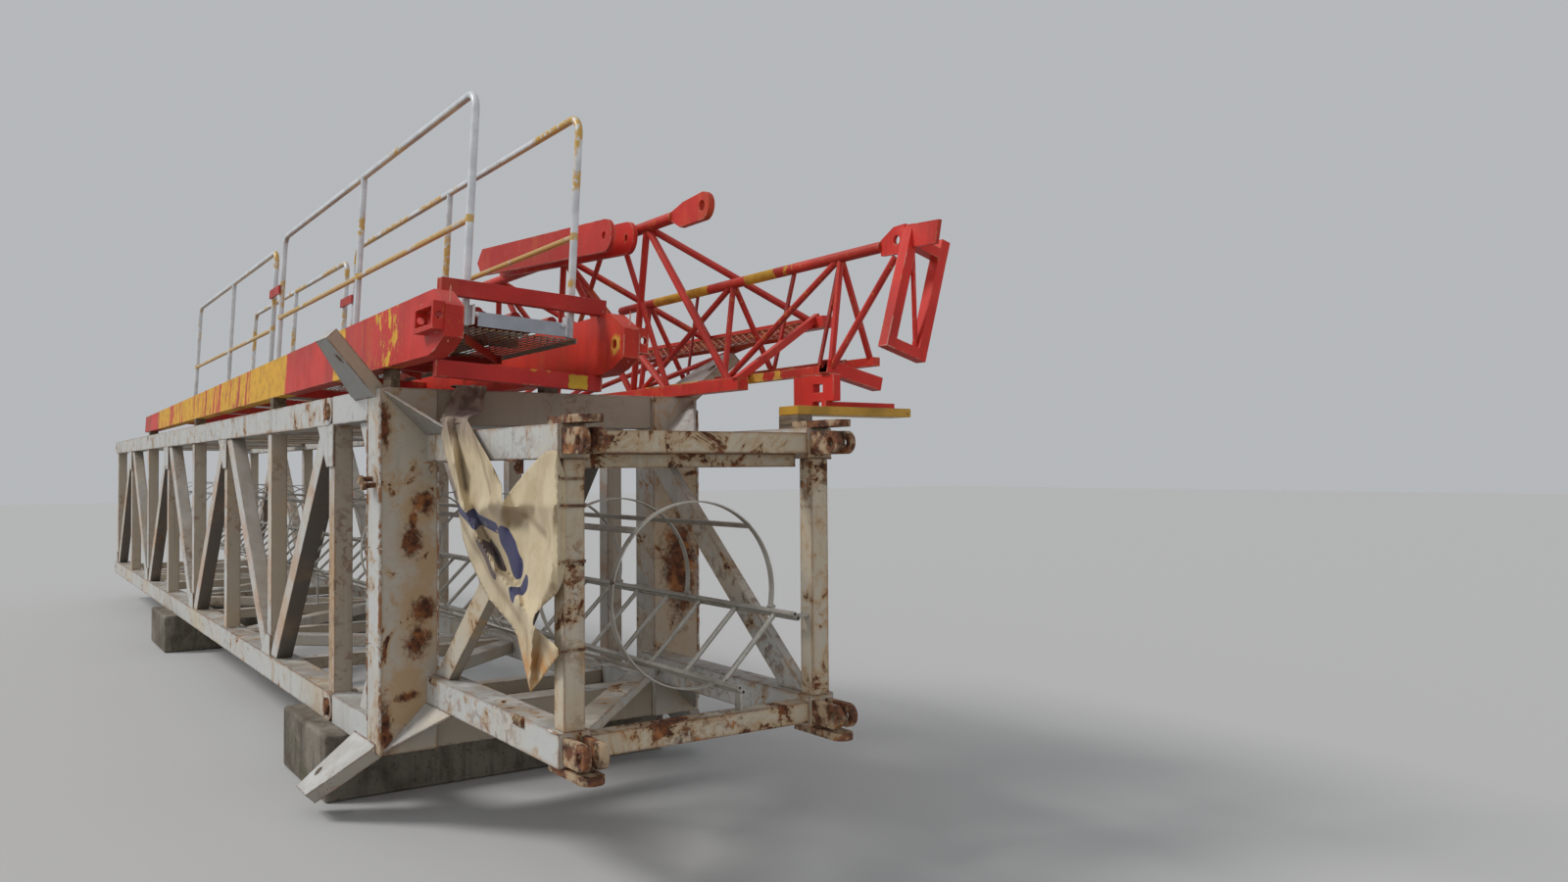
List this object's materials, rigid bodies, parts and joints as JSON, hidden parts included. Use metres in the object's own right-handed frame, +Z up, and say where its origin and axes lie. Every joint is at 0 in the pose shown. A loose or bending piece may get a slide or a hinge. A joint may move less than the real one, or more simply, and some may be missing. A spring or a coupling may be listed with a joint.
{
  "type": "dismantled tower crane",
  "caption": "Tower crane taken down for storage: a lattice tower section on concrete sleepers carries the railed counter-jib and the lattice jib sections.",
  "frame": {"origin": "middle of the ground face of the near concrete sleeper", "axes": "+X along the tower section to its near end, +Z up, +Y to the side that carries the jib"},
  "size_m": [13.1868, 2.2762, 3.1739],
  "materials": {
    "concrete": "rough, stained concrete",
    "cream_paint": "weathered cream paint with rust",
    "red_paint": "semi-gloss red paint over worn yellow",
    "rusty_steel": "rusted",
    "galvanised_steel": "dull galvanised",
    "canvas": "coarse canvas",
    "timber": "weathered grey-brown",
    "yellow_paint": "worn yellow",
    "white_paint": "chalky white with rust",
    "grey_paint": "matt light grey"
  },
  "bodies": {
    "root": {"sleeper_near": "concrete", "sleeper_far": "concrete", "chord_front_top": "cream_paint", "chord_front_bottom": "cream_paint", "chord_back_top": "cream_paint", "chord_back_bottom": "cream_paint", "web_front": "cream_paint", "web_back": "cream_paint", "web_top": "cream_paint", "web_bottom": "cream_paint", "section_pins": "rusty_steel", "collar_arms": "cream_paint", "collar_post_front": "cream_paint", "collar_post_back": "cream_paint", "collar_beams": "cream_paint", "collar_gussets": "cream_paint", "strut_stubs": "cream_paint", "bay_chords": "cream_paint", "bay_braces": "cream_paint", "bay_end_posts": "cream_paint", "bay_crossbars": "rusty_steel", "lugs": "rusty_steel", "ladder": "galvanised_steel", "ladder_straps": "galvanised_steel", "ladder_hoops": "galvanised_steel", "banner": "canvas", "packers": "timber", "girder_front": "red_paint", "girder_back": "red_paint", "deck_cross_beams": "red_paint", "deck_grating": "galvanised_steel", "end_beams": "red_paint", "toe_plate": "grey_paint", "railing_front": "white_paint", "railing_back": "white_paint", "rail_clamps": "red_paint", "tie_link": "red_paint", "tie_bars": "red_paint", "jib_root_chords": "red_paint", "jib_root_web": "red_paint", "jib_root_eye": "red_paint", "jib_walkway": "red_paint", "jib_tip_chords": "red_paint", "jib_tip_web": "red_paint", "tip_walkway": "red_paint", "jib_end_frame": "red_paint", "jib_foot": "red_paint", "bearer": "yellow_paint"}
  },
  "joints": []
}
